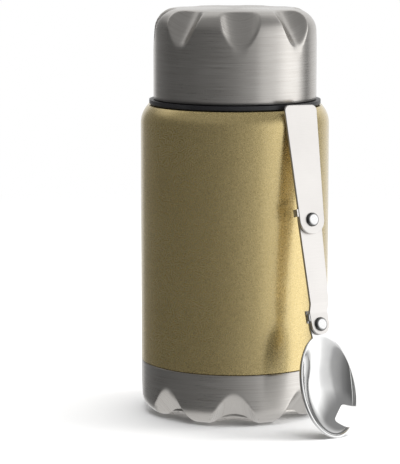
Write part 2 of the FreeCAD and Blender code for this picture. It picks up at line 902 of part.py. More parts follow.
def half_bowl(name, length, inset, forward):
    """Quarter of an ellipsoid: one end of the bowl, open face at the front."""
    part = doc.addObject("Part::Ellipsoid", name)
    bind(part, "Radius1", d.bowl_depth - inset)
    bind(part, "Radius2", d.bowl_half_width - inset)
    bind(part, "Radius3", length - inset)
    part.Angle1 = 0.0
    part.Angle2 = 90.0
    part.Angle3 = 180.0
    turn = FreeCAD.Rotation(V(1, 0, 0), -90.0)
    if not forward:
        turn = turn.multiply(FreeCAD.Rotation(V(0, 0, 1), 180.0))
    part.Placement = bowl_frame.multiply(FreeCAD.Placement(V(0, 0, -d.bowl_middle.value), turn))
    return part


def make_spork_bowl():
    """Deep bowl with one notch at its lower right, on a short flat shank with a stop lug."""
    outside = [half_bowl("bowl_outside_front", d.bowl_front, ZERO, True),
               half_bowl("bowl_outside_rear", d.bowl_rear, ZERO, False)]
    inside = fused("bowl_inside", [half_bowl("bowl_inside_front", d.bowl_front, d.bowl_wall, True),
                                   half_bowl("bowl_inside_rear", d.bowl_rear, d.bowl_wall, False)])
    top = d.shank_top_radius
    neck_low = ZERO - (d.bowl_middle - d.bowl_rear) - d.shank_overlap
    shank = padded("shank_face", "XZ_Plane", [
        (ZERO - d.neck_flare, neck_low),
        (d.neck_flare, neck_low),
        (d.shank_half_width, ZERO - d.link_low_radius, d.shank_round),
        (top, top, top * d.top_fullness),
        (ZERO - top, top, top * d.top_fullness),
        (ZERO - d.shank_half_width, ZERO - d.link_low_radius, d.shank_round),
    ], d.plate_thick)
    shank.Placement = FreeCAD.Placement(V(0, d.plate_thick.value / 2.0, 0), FreeCAD.Rotation())
    lug = stop_lug("shank_lug", d.link_low_radius, d.link_top_radius, d.rivet_pitch,
                   FreeCAD.Placement(), d.plate_thick)
    solid = fused("bowl_solid", outside + [shank] + lug)
    hollow = cut("bowl_hollow", solid, inside)
    notch = padded("notch_form", "XZ_Plane", [
        (ZERO - d.notch_base / 2.0, ZERO, d.notch_round),
        (ZERO - d.notch_mouth / 2.0, ZERO - d.notch_length),
        (d.notch_mouth / 2.0, ZERO - d.notch_length),
        (d.notch_base / 2.0, ZERO, d.notch_round),
    ], d.body_radius)
    notch.Placement = bowl_frame.multiply(FreeCAD.Placement(
        V(d.notch_x.value, 0, -d.notch_down.value),
        FreeCAD.Rotation(V(0, 1, 0), -d.notch_turn.value)))
    notched = cut("bowl_notched", hollow, notch)
    bowl = cut("spork_bowl", notched, rivet_hole("shank_hole", ZERO, FreeCAD.Placement()))
    bowl.Placement = spork_place
    return keep("spork_bowl", bowl)


def make_rivet(node, frame, back):
    """Domed rivet through two plates and a washer, with a flat tail behind."""
    stack = d.plate_thick * 2.0 + d.washer_thick + d.rivet_gap * 2.0
    corners = [
        (ZERO, ZERO - d.rivet_tail_height),
        (d.rivet_tail_radius, ZERO - d.rivet_tail_height, d.rivet_tail_round),
        (d.rivet_tail_radius, ZERO),
        (d.rivet_radius, ZERO),
        (d.rivet_radius, stack),
        (d.rivet_head_radius, stack),
        (d.rivet_head_radius, stack + d.rivet_head_height, d.rivet_head_height * d.top_fullness),
        (ZERO, stack + d.rivet_head_height),
    ]
    rivet = turned(node, corners)
    stand = FreeCAD.Placement(V(0, back.value, 0), FreeCAD.Rotation(V(1, 0, 0), 90.0))
    rivet.Placement = spork_place.multiply(frame).multiply(stand)
    return keep(node, rivet)


def make_washer(node, frame, back):
    """Thin washer that keeps two plates apart."""
    gap = d.washer_gap
    inner = d.rivet_radius
    corners = [
        (inner, gap),
        (d.washer_radius, gap),
        (d.washer_radius, d.washer_thick - gap),
        (inner, d.washer_thick - gap),
    ]
    washer = turned(node, corners)
    stand = FreeCAD.Placement(V(0, back.value, 0), FreeCAD.Rotation(V(1, 0, 0), 90.0))
    washer.Placement = spork_place.multiply(frame).multiply(stand)
    return keep(node, washer)


make_outer_shell()
make_inner_vessel()
make_bottom_disc()
make_vacuum_parts()
make_base_cup()
make_neck_collar()
make_lid_shell()
make_lid_liner()
make_lid_foam()
make_lid_seal()
make_stopper_body()
make_stopper_foam()
make_stopper_cover()
make_stopper_gasket()
make_vent_button()
make_vent_valve()
make_vent_spring()
make_spork_link()
make_spork_grip()
make_spork_bowl()
make_rivet("lower_rivet", FreeCAD.Placement(), d.plate_thick)
make_rivet("upper_rivet", upper_frame, ZERO)
make_washer("lower_washer", FreeCAD.Placement(), ZERO)
make_washer("upper_washer", upper_frame, ZERO - d.plate_thick)

doc.recompute()


def check_and_write():
    """Stops on any failed object, then writes each finished sub-part to its own file."""
    for thing in doc.Objects:
        if "Invalid" in thing.State or "Error" in thing.State:
            raise RuntimeError("failed: %s %s" % (thing.Name, thing.State))
    os.makedirs("parts", exist_ok=True)
    for node, thing in finished.items():
        shape = thing.Shape
        if shape.isNull() or not shape.isValid():
            raise RuntimeError("bad shape: " + node)
        shape.exportStep("parts/%s.step" % node)
        box = shape.BoundBox
        print("%-16s solids %d volume %9.1f z %7.2f to %7.2f" % (
            node, len(shape.Solids), shape.Volume, box.ZMin, box.ZMax))


check_and_write()
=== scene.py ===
import json
import math

import bmesh
import bpy
from mathutils import Matrix, Vector


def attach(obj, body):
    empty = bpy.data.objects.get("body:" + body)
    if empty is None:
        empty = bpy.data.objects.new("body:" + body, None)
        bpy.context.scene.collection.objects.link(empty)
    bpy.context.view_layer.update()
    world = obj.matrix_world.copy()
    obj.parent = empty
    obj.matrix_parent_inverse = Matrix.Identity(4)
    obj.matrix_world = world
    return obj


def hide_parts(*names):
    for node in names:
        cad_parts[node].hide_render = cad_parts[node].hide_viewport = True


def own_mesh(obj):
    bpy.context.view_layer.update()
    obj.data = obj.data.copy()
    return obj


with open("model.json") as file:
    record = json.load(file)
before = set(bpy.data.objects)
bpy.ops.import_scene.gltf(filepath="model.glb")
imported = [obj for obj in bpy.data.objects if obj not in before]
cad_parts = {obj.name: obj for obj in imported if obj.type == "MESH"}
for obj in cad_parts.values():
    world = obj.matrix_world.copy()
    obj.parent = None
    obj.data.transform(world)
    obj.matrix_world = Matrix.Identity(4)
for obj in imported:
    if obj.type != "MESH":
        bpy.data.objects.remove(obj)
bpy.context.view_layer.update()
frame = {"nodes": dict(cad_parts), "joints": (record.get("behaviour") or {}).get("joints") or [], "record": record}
mm = 0.001
nodes = frame["nodes"]
scene = bpy.context.scene
print("stage: frame loaded")


# camera

shot = {
    "place": (0.0, -1.0618, 0.24018),
    "down": 0.148,  # radians below level
    "aside": 0.015,  # radians to the left
    "lens": 180.93,
    "sensor": 36.0,
    "width": 400,
    "height": 464,
}


def makeCamera():
    lens = bpy.data.cameras.new("camera")
    lens.lens = shot["lens"]
    lens.sensor_width = shot["sensor"]
    lens.clip_end = 30.0
    eye = bpy.data.objects.new("camera", lens)
    eye.location = shot["place"]
    eye.rotation_euler = (math.pi / 2.0 - shot["down"], 0.0, shot["aside"])
    scene.collection.objects.link(eye)
    scene.camera = eye
    scene.render.resolution_x = shot["width"]
    scene.render.resolution_y = shot["height"]


makeCamera()
scene.view_settings.view_transform = "Standard"
print("stage: camera")


# node helpers

class Shader:
    # A short way to add nodes and join them.

    def __init__(self, name, world=False):
        if world:
            self.owner = bpy.data.worlds.new(name)
        else:
            self.owner = bpy.data.materials.new(name)
        self.owner.use_nodes = True
        self.tree = self.owner.node_tree
        self.tree.nodes.clear()

    def add(self, kind, inputs=None, **settings):
        node = self.tree.nodes.new(kind)
        for key, value in settings.items():
            setattr(node, key, value)
        for key, value in (inputs or {}).items():
            self.put(node.inputs[key], value)
        return node

    def put(self, socket, value):
        if isinstance(value, bpy.types.NodeSocket):
            self.tree.links.new(value, socket)
        elif isinstance(value, bpy.types.Node):
            self.tree.links.new(value.outputs[0], socket)
        else:
            socket.default_value = value

    def math(self, operation, first, second=0.0, clamp=False):
        node = self.add("ShaderNodeMath", {0: first, 1: second}, operation=operation)
        node.use_clamp = clamp
        return node.outputs[0]

    def span(self, value, fromLow, fromHigh, toLow=0.0, toHigh=1.0, smooth=False):
        node = self.add("ShaderNodeMapRange", {
            "Value": value, "From Min": fromLow, "From Max": fromHigh,
            "To Min": toLow, "To Max": toHigh})
        node.interpolation_type = "SMOOTHSTEP" if smooth else "LINEAR"
        return node.outputs[0]

    def blend(self, amount, first, second, kind="MIX"):
        node = self.add("ShaderNodeMix", data_type="RGBA", blend_type=kind)
        self.put(node.inputs[0], amount)
        self.put(node.inputs[6], first)
        self.put(node.inputs[7], second)
        return node.outputs[2]

    def place(self):
        return self.add("ShaderNodeTexCoord").outputs["Object"]

    def split(self, vector):
        return self.add("ShaderNodeSeparateXYZ", {0: vector}).outputs

    def join(self, x, y, z):
        return self.add("ShaderNodeCombineXYZ", {0: x, 1: y, 2: z}).outputs[0]

    def noise(self, vector, scale, detail=2.0, roughness=0.5):
        node = self.add("ShaderNodeTexNoise", {
            "Vector": vector, "Scale": scale, "Detail": detail, "Roughness": roughness})
        return node.outputs["Fac"]

    def bump(self, height, strength, distance, normal=None):
        inputs = {"Height": height, "Strength": strength, "Distance": distance}
        if normal is not None:
            inputs["Normal"] = normal
        return self.add("ShaderNodeBump", inputs).outputs[0]

    def surface(self, inputs, **fixed):
        node = self.add("ShaderNodeBsdfPrincipled", inputs)
        for key, value in fixed.items():
            node.inputs[key.replace("_", " ")].default_value = value
        out = self.add("ShaderNodeOutputMaterial", {"Surface": node})
        out.is_active_output = True
        return self.owner


def grey(level):
    return (level, level, level, 1.0)


# materials

paintLook = {
    "deep": (0.47, 0.365, 0.148, 1.0),
    "light": (0.80, 0.635, 0.305, 1.0),
    "cloud": (0.80, 0.67, 0.36, 1.0),
    "cloudShare": 0.12,
    "flakeSize": 0.26 * mm,
    "roughness": 0.28,
    "metallic": 0.9,
}
steelLook = {
    "deep": (0.50, 0.475, 0.445, 1.0),
    "light": (0.66, 0.64, 0.61, 1.0),
    "streakWidth": 0.35 * mm,
    "streakLength": 0.45,  # radians
    "roughness": 0.30,
    "anisotropy": 0.75,
}
plateLook = {
    "colour": (0.80, 0.775, 0.75, 1.0),
    "grain": 0.25 * mm,
    "roughness": 0.36,
}
bowlLook = {
    "colour": (0.80, 0.80, 0.79, 1.0),
    "roughness": 0.05,
    "scratch": 0.6 * mm,
}
rivetLook = {
    "middle": 0.72,
    # painted shade: the dark colour painted at the rim of each head, where it meets the plate
    "edge": 0.10,
    "rimShadeFrom": 1.9 * mm,
    "rimShadeTo": 2.9 * mm,
    "worn": 0.5,
    "roughness": 0.12,
}
foamLook = {
    "deep": (0.62, 0.60, 0.53, 1.0),
    "light": (0.82, 0.80, 0.73, 1.0),
    "cells": 1400.0,  # per metre
}


def paintMaterial():
    s = Shader("bodyPaint")
    place = s.place()
    flakes = s.add("ShaderNodeTexVoronoi", {
        "Vector": place, "Scale": 1.0 / paintLook["flakeSize"]}, feature="F1")
    sparkle = s.split(flakes.outputs["Color"])[0]
    coarse = s.noise(place, 900.0, 2.0)
    cloud = s.noise(place, 45.0, 3.0)
    amount = s.math("ADD", s.math("MULTIPLY", sparkle, 0.75),
                    s.math("MULTIPLY", coarse, 0.25))
    colour = s.blend(amount, paintLook["deep"], paintLook["light"])
    colour = s.blend(s.span(cloud, 0.3, 0.7, 0.0, paintLook["cloudShare"]),
                     colour, paintLook["cloud"])
    rough = s.span(sparkle, 0.0, 1.0,
                   paintLook["roughness"] - 0.06, paintLook["roughness"] + 0.06)
    facet = s.bump(sparkle, 0.16, 0.05 * mm)
    peel = s.bump(s.noise(place, 260.0, 1.0), 0.05, 0.1 * mm, facet)
    return s.surface({"Base Color": colour, "Roughness": rough, "Normal": peel},
                     Metallic=paintLook["metallic"], Coat_Weight=0.55, Coat_Roughness=0.06)


def roundBrushed(name, look):
    # Steel brushed round the jar's axis: the streaks follow the angle,
    # and the tangent runs up the wall, so that highlights stretch upwards.
    s = Shader(name)
    place = s.place()
    x, y, z = s.split(place)[:3]
    angle = s.math("ARCTAN2", y, x)
    out = s.math("SQRT", s.math("ADD", s.math("MULTIPLY", x, x),
                                s.math("MULTIPLY", y, y)))
    along = s.math("SUBTRACT", z, out)
    turn = s.join(s.math("COSINE", angle), s.math("SINE", angle), 0.0)
    cx, cy = s.split(turn)[:2]
    reach = 1.0 / look["streakLength"]
    lines = s.join(s.math("MULTIPLY", cx, reach), s.math("MULTIPLY", cy, reach),
                   s.math("MULTIPLY", along, 1.0 / look["streakWidth"]))
    fine = s.noise(lines, 1.0, 4.0, 0.65)
    broadLines = s.join(s.math("MULTIPLY", cx, 1.2), s.math("MULTIPLY", cy, 1.2),
                        s.math("MULTIPLY", along, 0.25 / look["streakWidth"]))
    broad = s.noise(broadLines, 1.0, 2.0)
    amount = s.math("ADD", s.math("MULTIPLY", fine, 0.7), s.math("MULTIPLY", broad, 0.3))
    colour = s.blend(s.span(amount, 0.3, 0.7), look["deep"], look["light"])
    smudge = s.noise(place, 28.0, 3.0)
    rough = s.math("ADD", s.span(fine, 0.3, 0.7,
                                 look["roughness"] - 0.05, look["roughness"] + 0.06),
                   s.span(smudge, 0.35, 0.7, -0.02, 0.04))
    normal = s.bump(fine, 0.10, 0.03 * mm)
    facing = s.add("ShaderNodeNewGeometry").outputs["Normal"]
    aroundAxis = s.add("ShaderNodeVectorMath", {0: (0.0, 0.0, 1.0), 1: turn},
                       operation="CROSS_PRODUCT")
    tangent = s.add("ShaderNodeVectorMath", {0: aroundAxis.outputs[0], 1: facing},
                    operation="CROSS_PRODUCT")
    return s.surface({"Base Color": colour, "Roughness": rough, "Normal": normal,
                      "Tangent": tangent.outputs[0]},
                     Metallic=1.0, Anisotropic=look["anisotropy"])


def plateMaterial():
    # Satin steel of the folding handle, with a fine grain across the plates.
    s = Shader("plateSatin")
    place = s.place()
    x, y, z = s.split(place)[:3]
    grain = s.noise(s.join(s.math("MULTIPLY", x, 120.0), s.math("MULTIPLY", y, 120.0),
                           s.math("MULTIPLY", z, 1.0 / plateLook["grain"])), 1.0, 3.0, 0.6)
    cloud = s.noise(place, 60.0, 3.0)
    tone = s.math("ADD", s.span(grain, 0.3, 0.7, 0.94, 1.0),
                  s.span(cloud, 0.3, 0.7, -0.03, 0.02))
    colour = s.blend(1.0, plateLook["colour"], s.join(tone, tone, tone), "MULTIPLY")
    rough = s.span(grain, 0.3, 0.7,
                   plateLook["roughness"] - 0.04, plateLook["roughness"] + 0.05)
    normal = s.bump(grain, 0.08, 0.02 * mm)
    return s.surface({"Base Color": colour, "Roughness": rough, "Normal": normal},
                     Metallic=1.0)


def polishedMaterial(name, look):
    s = Shader(name)
    place = s.place()
    marks = s.noise(place, 1.0 / look["scratch"], 4.0, 0.7)
    haze = s.noise(place, 90.0, 2.0)
    colour = s.blend(s.span(haze, 0.3, 0.7), look["colour"], grey(0.72))
    rough = s.math("ADD", s.span(marks, 0.35, 0.75,
                                 look["roughness"], look["roughness"] + 0.06),
                   s.span(haze, 0.4, 0.7, 0.0, 0.04))
    normal = s.bump(marks, 0.02, 0.02 * mm)
    return s.surface({"Base Color": colour, "Roughness": rough, "Normal": normal},
                     Metallic=1.0)


def rivetMaterial():
    # A polished head with painted shade: a dark ring painted into its colour where it meets the plate.
    s = Shader("rivetPolished")
    place = s.place()
    nearest = None
    for joint in frame["joints"]:
        if joint["name"] not in ("link_fold", "grip_fold"):
            continue
        offset = s.add("ShaderNodeVectorMath", {0: place, 1: tuple(joint["pos_m"])},
                       operation="SUBTRACT")
        cross = s.add("ShaderNodeVectorMath", {
            0: offset.outputs[0], 1: tuple(joint["axis"])}, operation="CROSS_PRODUCT")
        away = s.add("ShaderNodeVectorMath", {0: cross.outputs[0]},
                     operation="LENGTH").outputs["Value"]
        nearest = away if nearest is None else s.math("MINIMUM", nearest, away)
    marks = s.noise(place, 1600.0, 3.0, 0.6)
    # painted shade: the colour turns dark towards the rim of each head
    inRimShade = s.span(nearest, rivetLook["rimShadeFrom"], rivetLook["rimShadeTo"], smooth=True)
    colour = s.blend(inRimShade, grey(rivetLook["middle"]), grey(rivetLook["edge"]))
    colour = s.blend(s.span(marks, 0.4, 0.7, 0.0, 0.2), colour, grey(rivetLook["worn"]))
    rough = s.span(marks, 0.35, 0.75,
                   rivetLook["roughness"], rivetLook["roughness"] + 0.08)
    return s.surface({"Base Color": colour, "Roughness": rough,
                      "Normal": s.bump(marks, 0.04, 0.02 * mm)}, Metallic=1.0)


def plasticMaterial(name, colour, roughness, grain=0.22 * mm, depth=0.12):
    s = Shader(name)
    place = s.place()
    skin = s.noise(place, 1.0 / grain, 3.0, 0.6)
    wear = s.noise(place, 70.0, 3.0)
    lighter = tuple(min(1.0, c * 1.35 + 0.012) for c in colour[:3]) + (1.0,)
    tone = s.blend(s.span(wear, 0.35, 0.75, 0.0, 0.6), colour, lighter)
    rough = s.math("ADD",
                   s.span(skin, 0.3, 0.7, roughness - 0.05, roughness + 0.06),
                   s.span(wear, 0.4, 0.7, 0.0, 0.05))
    normal = s.bump(skin, depth, 0.04 * mm)
    return s.surface({"Base Color": tone, "Roughness": rough, "Normal": normal})


def foamMaterial():
    s = Shader("foam")
    place = s.place()
    cells = s.add("ShaderNodeTexVoronoi", {
        "Vector": place, "Scale": foamLook["cells"]}).outputs["Distance"]
    tone = s.blend(s.span(cells, 0.1, 0.8), foamLook["deep"], foamLook["light"])
    normal = s.bump(cells, 0.5, 0.2 * mm)
    return s.surface({"Base Color": tone, "Normal": normal}, Roughness=0.9)


looks = {
    "painted_steel": paintMaterial(),
    "base_steel": roundBrushed("baseBrushed", steelLook),
    "lid_steel": roundBrushed("lidBrushed", steelLook),
    "vessel_steel": roundBrushed("vesselSatin",
                                 dict(steelLook, roughness=0.34, anisotropy=0.5)),
    "satin_steel": plateMaterial(),
    "polished_steel": polishedMaterial("bowlPolished", bowlLook),
    "rivet_steel": rivetMaterial(),
    "spring_steel": polishedMaterial("springWire", dict(bowlLook, roughness=0.25)),
    "black_plastic": plasticMaterial("collarBlack", (0.012, 0.012, 0.014, 1.0), 0.38),
    "liner_plastic": plasticMaterial("linerDark", (0.03, 0.03, 0.033, 1.0), 0.42),
    "button_plastic": plasticMaterial("buttonGrey", (0.28, 0.28, 0.29, 1.0), 0.32),
    "silicone": plasticMaterial("siliconeGrey", (0.45, 0.45, 0.44, 1.0), 0.55,
                                0.4 * mm, 0.06),
    "foam": foamMaterial(),
    "seal_glass": plasticMaterial("sealPill", (0.08, 0.08, 0.09, 1.0), 0.5),
    "getter_metal": plasticMaterial("getterPill", (0.14, 0.14, 0.14, 1.0), 0.6),
}
slotOf = {}
for entry in frame["record"]["subparts"]:
    slotOf[entry["node"]] = entry["material_slot"]
for nodeName, part in nodes.items():
    part.data.materials.clear()
    part.data.materials.append(looks[slotOf[nodeName]])
print("stage: materials")


# mesh helpers

def newPiece(name, mesh, slotName, body):
    piece = bpy.data.objects.new(name, mesh)
    scene.collection.objects.link(piece)
    mesh.materials.clear()
    mesh.materials.append(looks[slotName])
    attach(piece, body)
    return piece


def smoothMesh(form, name, sharpAngle=None):
    mesh = bpy.data.meshes.new(name)
    form.to_mesh(mesh)
    form.free()
    for face in mesh.polygons:
        face.use_smooth = True
    if sharpAngle is not None:
        mesh.set_sharp_from_angle(angle=math.radians(sharpAngle))
    return mesh


def softMin(first, second, width):
    near = max(width - abs(first - second), 0.0) / width
    return min(first, second) - near * near * width / 4.0


# lid and base cup: turned profiles with eight scoops pressed in

lidShape = {
    "radius": 37.15 * mm,
    "low": 143.7 * mm,
    "high": 184.6 * mm,
    "corner": 9.4 * mm,
    "wall": 0.7 * mm,
    "heart": 166.0 * mm,  # height that the profile is seen from
    "scoopTip": 170.6 * mm,
    "scoopEnd": 184.6 * mm,
    "scoopDepth": 8.9 * mm,
    "tipRadius": 7.5 * mm,
    "endRadius": 10.8 * mm,
    "turn": 3.5,
    "edge": 1.3 * mm,
    "scoops": 8,
    "columns": 384,
}
cupShape = {
    "radius": 43.0 * mm,
    "low": 0.0,
    "high": 23.4 * mm,
    "corner": 8.0 * mm,
    "wall": 0.8 * mm,
    "heart": 15.0 * mm,
    "recess": 34.3 * mm,
    "recessDepth": 2.4 * mm,
    "scoopTip": 11.5 * mm,
    "scoopEnd": 0.0,
    "scoopDepth": 10.2 * mm,
    "tipRadius": 6.0 * mm,
    "endRadius": 12.0 * mm,
    "turn": 0.0,
    "edge": 3.0 * mm,
    "scoops": 8,
    "columns": 384,
}


def coneEntry(shape, eye, look):
    # Distance from eye along look to the scoop's cone, or None where it isn't met.
    rim = shape["radius"]
    start = Vector((rim + shape["tipRadius"], 0.0, shape["scoopTip"]))
    end = Vector((rim - shape["scoopDepth"] + shape["endRadius"], 0.0, shape["scoopEnd"]))
    axis = (end - start).normalized()
    grow = (shape["endRadius"] - shape["tipRadius"]) / (end - start).length
    back = eye - start
    la = look.dot(axis)
    ba = back.dot(axis)
    spread = 1.0 + grow * grow
    a = 1.0 - spread * la * la
    b = back.dot(look) - spread * ba * la - shape["tipRadius"] * grow * la
    c = (back.dot(back) - spread * ba * ba
         - 2.0 * shape["tipRadius"] * grow * ba - shape["tipRadius"] ** 2)
    inner = b * b - a * c
    if inner <= 0.0 or abs(a) < 1e-9:
        return None
    root = math.sqrt(inner)
    for reach in sorted(((-b - root) / a, (-b + root) / a)):
        radius = shape["tipRadius"] + grow * (ba + reach * la)
        if reach > 0.0 and radius > 0.0:
            return reach
    return None


def lidProfile():
    shape = lidShape
    rim, corner = shape["radius"], shape["corner"]
    low, high = shape["low"], shape["high"]
    points = [(rim - 0.45 * mm, low), (rim - 0.15 * mm, low + 0.04 * mm),
              (rim, low + 0.22 * mm)]
    points += [(rim, low + (shape["scoopTip"] - 2.0 * mm - low) * i / 10.0)
               for i in range(1, 11)]
    straight = high - corner
    first = shape["scoopTip"] - 2.0 * mm
    points += [(rim, first + (straight - first) * i / 12.0) for i in range(1, 13)]
    for i in range(1, 25):
        turn = math.pi / 2.0 * i / 24.0
        points.append((rim - corner + corner * math.cos(turn),
                       straight + corner * math.sin(turn)))
    inner = rim - corner
    points += [(inner - 7.0 * mm * i / 12.0, high) for i in range(1, 13)]
    inner -= 7.0 * mm
    points += [(inner * (1.0 - i / 6.0), high) for i in range(1, 7)]
    return points


def cupProfile():
    shape = cupShape
    rim, corner = shape["radius"], shape["corner"]
    high = shape["high"]
    points = [(rim - 0.5 * mm, high), (rim - 0.15 * mm, high - 0.05 * mm),
              (rim, high - 0.25 * mm)]
    points += [(rim, high - 0.25 * mm - (high - corner - 0.25 * mm) * i / 20.0)
               for i in range(1, 21)]
    for i in range(1, 25):
        turn = math.pi / 2.0 * i / 24.0
        points.append((rim - corner + corner * math.cos(turn),
                       corner - corner * math.sin(turn)))
    foot, rise = shape["recess"], shape["recessDepth"]
    points += [(foot + 0.2 * mm, 0.0), (foot, 0.2 * mm),
               (foot, rise - 0.1 * mm), (foot - 0.3 * mm, rise)]
    points += [((foot - 0.3 * mm) * (1.0 - i / 5.0), rise) for i in range(1, 6)]
    return points


def scoopedForm(shape, profile):
    form = bmesh.new()
    eye = Vector((0.0, 0.0, shape["heart"]))
    sector = 2.0 * math.pi / shape["scoops"]
    count = shape["columns"]
    perSector = count // shape["scoops"]
    shares = []
    for step in range(perSector):
        aside = step * sector / perSector
        if aside > sector / 2.0:
            aside -= sector
        column = []
        for across, up in profile:
            if across < 1e-9:
                column.append(1.0)
                continue
            spot = Vector((across * math.cos(aside), across * math.sin(aside), up))
            reach = (spot - eye).length
            look = (spot - eye) / reach
            met = coneEntry(shape, eye, look)
            share = 1.0 if met is None else softMin(reach, met, shape["edge"]) / reach
            column.append(share)
        shares.append(column)
    rings = []
    for row, (across, up) in enumerate(profile):
        if across < 1e-9:
            rings.append([form.verts.new((0.0, 0.0, up))])
            continue
        ring = []
        for column in range(count):
            angle = 2.0 * math.pi * column / count + math.radians(shape["turn"] - 90.0)
            share = shares[column % perSector][row]
            spot = Vector((across * math.cos(angle), across * math.sin(angle), up))
            ring.append(form.verts.new(eye + (spot - eye) * share))
        rings.append(ring)
    for low, high in zip(rings, rings[1:]):
        for column in range(count):
            after = (column + 1) % count
            if len(high) == 1:
                form.faces.new((low[column], low[after], high[0]))
            else:
                form.faces.new((low[column], low[after], high[after], high[column]))
    bmesh.ops.recalc_face_normals(form, faces=form.faces[:])
    if form.faces[0].normal.dot(form.faces[0].calc_center_median() - eye) < 0.0:
        bmesh.ops.reverse_faces(form, faces=form.faces[:])
    return form


def applied(piece):
    # Turns a piece with live modifiers into a plain mesh.
    depsgraph = bpy.context.evaluated_depsgraph_get()
    mesh = bpy.data.meshes.new_from_object(piece.evaluated_get(depsgraph))
    piece.modifiers.clear()
    piece.data = mesh
    return piece


def makeScooped(name, shape, profile, slotName, body, nodeName):
    mesh = smoothMesh(scoopedForm(shape, profile), name)
    piece = bpy.data.objects.new(name, mesh)
    scene.collection.objects.link(piece)
    wall = piece.modifiers.new("wall", "SOLIDIFY")
    wall.thickness = shape["wall"]
    wall.offset = -1.0
    applied(piece)
    piece.data.materials.clear()
    piece.data.materials.append(looks[slotName])
    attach(piece, body)
    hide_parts(nodeName)
    return piece


makeScooped("lidCap", lidShape, lidProfile(), "lid_steel", "lid", "lid_shell")
makeScooped("baseCup", cupShape, cupProfile(), "base_steel", "jar", "base_cup")
print("stage: lid and base")


# folding spork

spork = {
    "yaw": 34.0,
    "lean": 17.25,
    "roll": 0.7,
    "bowlPitch": 3.0,
    "bowlTurn": 1.1,
    "middle": 28.5 * mm,
    "rear": 24.0 * mm,
    "front": 22.1 * mm,
    "halfWidth": 14.5 * mm,
    "depth": 8.2 * mm,
    "wall": 0.8 * mm,
    "heelTurn": 0.9,  # radians to each side of the shank
    "heelSoft": 1.0,
    "neckBlend": 6.0 * mm,
    "plate": 1.3 * mm,
    "shankHalf": 4.3 * mm,
    "shankTop": 4.8 * mm,
    "edge": 0.35 * mm,
    "rings": 36,
    "ledgeRings": 8,
    "neckTurn": 20.0,  # degrees to each side of the shank with closer columns
    "neckColumns": 96,
    "bowlColumns": 200,
    "notchX": 6.1 * mm,
    "notchDown": 38.9 * mm,
    "notchTurn": 51.0,
    "notchBase": 9.0 * mm,
    "notchMouth": 10.9 * mm,
    "notchLength": 11.0 * mm,
    "notchCorner": 1.0 * mm,
    "gripEdge": 0.3 * mm,
    "linkEdge": 0.2 * mm,
    "linkTabReach": 7.6 * mm,
    "linkTabThick": 0.7 * mm,
    # corners of the plate and the tab of the bowl's stop, in mm from the rivet
    "stop": (((-5.6, 0.0, 1.0), (-2.0, 1.3, 6.6)),
             ((-5.6, -1.7, 1.8), (-4.95, 1.3, 5.0))),
    "stopEdge": 0.25 * mm,
}


def jointNamed(name):
    for joint in frame["joints"]:
        if joint["name"] == name:
            return joint
    raise ValueError(name)


sporkPlace = (Matrix.Translation(Vector(jointNamed("link_fold")["pos_m"]))
              @ Matrix.Rotation(math.radians(spork["yaw"]), 4, "Z")
              @ Matrix.Rotation(math.radians(-spork["lean"]), 4, "X")
              @ Matrix.Rotation(math.radians(spork["roll"]), 4, "Y"))
bowlPlace = (sporkPlace @ Matrix.Rotation(math.radians(-spork["bowlPitch"]), 4, "X")
             @ Matrix.Rotation(math.radians(spork["bowlTurn"]), 4, "Y"))


def bevelledCopy(name, nodeName, width, segments, slotName, body, tabReach=None):
    # A node's own mesh, cleaned to flat faces, with its edges softened. With
    # tabReach, the stop tab beside the plate reaches only that far out.
    form = bmesh.new()
    form.from_mesh(nodes[nodeName].data)
    if tabReach is not None:
        back = sporkPlace.inverted()
        for vert in form.verts:
            spot = back @ vert.co
            if spot.x < -6.5 * mm:
                outside = spot.x < -8.0 * mm
                spot.x = -tabReach if outside else -tabReach + spork["linkTabThick"]
                vert.co = sporkPlace @ spot
    bmesh.ops.remove_doubles(form, verts=form.verts[:], dist=1e-6)
    bmesh.ops.dissolve_limit(form, angle_limit=math.radians(1.0),
                             verts=form.verts[:], edges=form.edges[:])
    mesh = smoothMesh(form, name, 35.0)
    piece = newPiece(name, mesh, slotName, body)
    soft = piece.modifiers.new("edges", "BEVEL")
    soft.width = width
    soft.segments = segments
    soft.limit_method = "ANGLE"
    soft.angle_limit = math.radians(35.0)
    soft.harden_normals = True
    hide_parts(nodeName)
    return piece


bevelledCopy("sporkGrip", "spork_grip", spork["gripEdge"], 3, "satin_steel", "grip")
bevelledCopy("sporkLink", "spork_link", spork["linkEdge"], 2, "satin_steel", "link",
             spork["linkTabReach"])
print("stage: spork plates")

spring = newPiece("ventSpring", nodes["vent_spring"].data.copy(), "spring_steel",
                  "stopper")
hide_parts("vent_spring")
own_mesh(spring)
print("stage: vent spring")


def ellipseReach(turn, across, up, down):
    c, s = math.cos(turn), math.sin(turn)
    return 1.0 / math.hypot(c / across, s / (up if s > 0.0 else down))


def shankReach(turn):
    # Distance from the bowl's middle to the shank's edge, or 0 beside the shank.
    aside = abs(turn - math.pi / 2.0)
    far, top = spork["middle"], spork["shankTop"]
    if math.sin(aside) * far >= top:
        return 0.0
    topReach = far * math.cos(aside) + math.sqrt(top ** 2 - (far * math.sin(aside)) ** 2)
    if aside < 1e-6:
        return topReach
    half = (spork["shankHalf"] + spork["shankTop"]) / 2.0
    return min(topReach, half / math.sin(aside))


def softMax(first, second, width):
    return -softMin(-first, -second, width)


def easeIn(value, low, high):
    share = min(max((value - low) / (high - low), 0.0), 1.0)
    return share * share * (3.0 - 2.0 * share)


